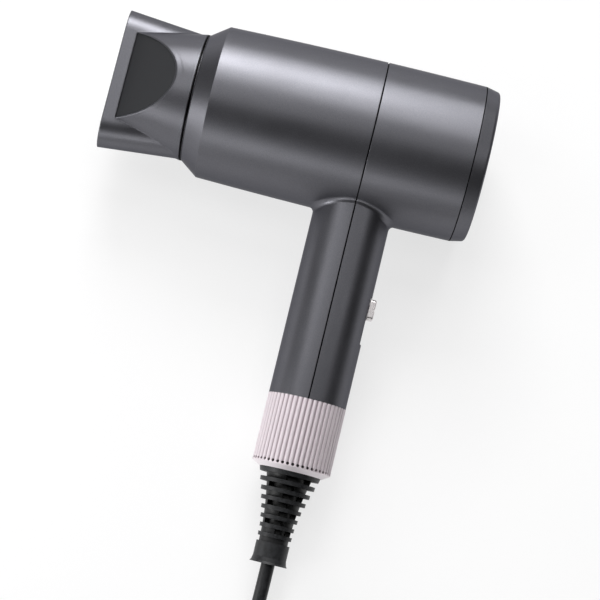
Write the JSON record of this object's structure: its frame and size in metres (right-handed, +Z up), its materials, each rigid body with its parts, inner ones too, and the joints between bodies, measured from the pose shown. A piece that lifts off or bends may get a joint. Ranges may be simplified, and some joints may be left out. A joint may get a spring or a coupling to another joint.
{
  "type": "hair dryer",
  "caption": "Pistol-shaped hair dryer with a slot nozzle that turns and pulls off, pull-off rear filter cap, slide switch, fluted collar and wound mains lead.",
  "frame": {"origin": "on the table under the middle of the dryer's box, its free lead left out", "axes": "+X back along the barrel from nozzle to intake, +Y from the handle's end to the barrel, +Z up from the table that the dryer lies on"},
  "size_m": [0.2257, 0.3815, 0.082],
  "materials": {
    "shell_coat": "satin metallic grey paint on moulded plastic",
    "black_plastic": "moulded, fine matt",
    "rose_coat": "satin rose-silver paint on moulded plastic",
    "rubber": "moulded, matt",
    "steel": "bright",
    "dark_steel": "blackened",
    "heater_alloy": "drawn wire, heat tinted",
    "mica": "pressed mica board",
    "circuit_board": "solder mask over glass-fibre board"
  },
  "bodies": {
    "housing": {"front_shell": "shell_coat", "rear_shell": "shell_coat", "shell_screws": "steel", "magnet_ring": "steel", "outlet_grille": "black_plastic", "heater_sleeve": "mica", "heater_cross": "mica", "heater_windings": "heater_alloy", "thermostat": "steel", "thermal_fuse": "steel", "fan_duct": "black_plastic", "duct_gasket": "rubber", "motor_can": "steel", "motor_cap": "black_plastic", "motor_magnets": "dark_steel", "motor_bearings": "steel", "motor_board": "circuit_board", "switch_plate": "black_plastic", "switch_body": "black_plastic", "switch_board": "circuit_board", "inner_leads": "rubber", "cord_clamp": "black_plastic", "clamp_screws": "steel", "cord_inner": "rubber", "grip_collar": "rose_coat", "strain_relief": "rubber", "cord_coil": "rubber", "cable_tie": "rubber", "plug_body": "rubber", "plug_pins": "steel", "cord_lead": "rubber", "cord_tail": "rubber"},
    "nozzle_back": {"nozzle_ring": "shell_coat"},
    "nozzle": {"nozzle_shell": "shell_coat", "nozzle_core": "black_plastic", "nozzle_inlays": "black_plastic"},
    "filter_cap": {"rear_cap": "shell_coat", "inlet_grille": "dark_steel", "inlet_filter": "dark_steel"},
    "slide_knob": {"switch_knob": "rose_coat"},
    "rotor": {"fan": "black_plastic", "motor_shaft": "steel", "motor_armature": "steel"}
  },
  "joints": [
    {"name": "nozzle_pull", "type": "slide", "parent": "housing", "child": "nozzle_back", "axis": [-1, 0, 0], "range_m": [0, 0.03]},
    {"name": "nozzle_spin", "type": "hinge", "parent": "nozzle_back", "child": "nozzle", "pos_m": [-0.06195, 0.0906, 0.041], "axis": [1, 0, 0], "continuous": true},
    {"name": "cap_pull", "type": "slide", "parent": "housing", "child": "filter_cap", "axis": [1, 0, 0], "range_m": [0, 0.03]},
    {"name": "switch_slide", "type": "slide", "parent": "housing", "child": "slide_knob", "axis": [0, -0.9926, -0.1213], "range_m": [0, 0.011]},
    {"name": "fan_spin", "type": "hinge", "parent": "housing", "child": "rotor", "pos_m": [0.05805, 0.0906, 0.041], "axis": [1, 0, 0], "continuous": true}
  ]
}
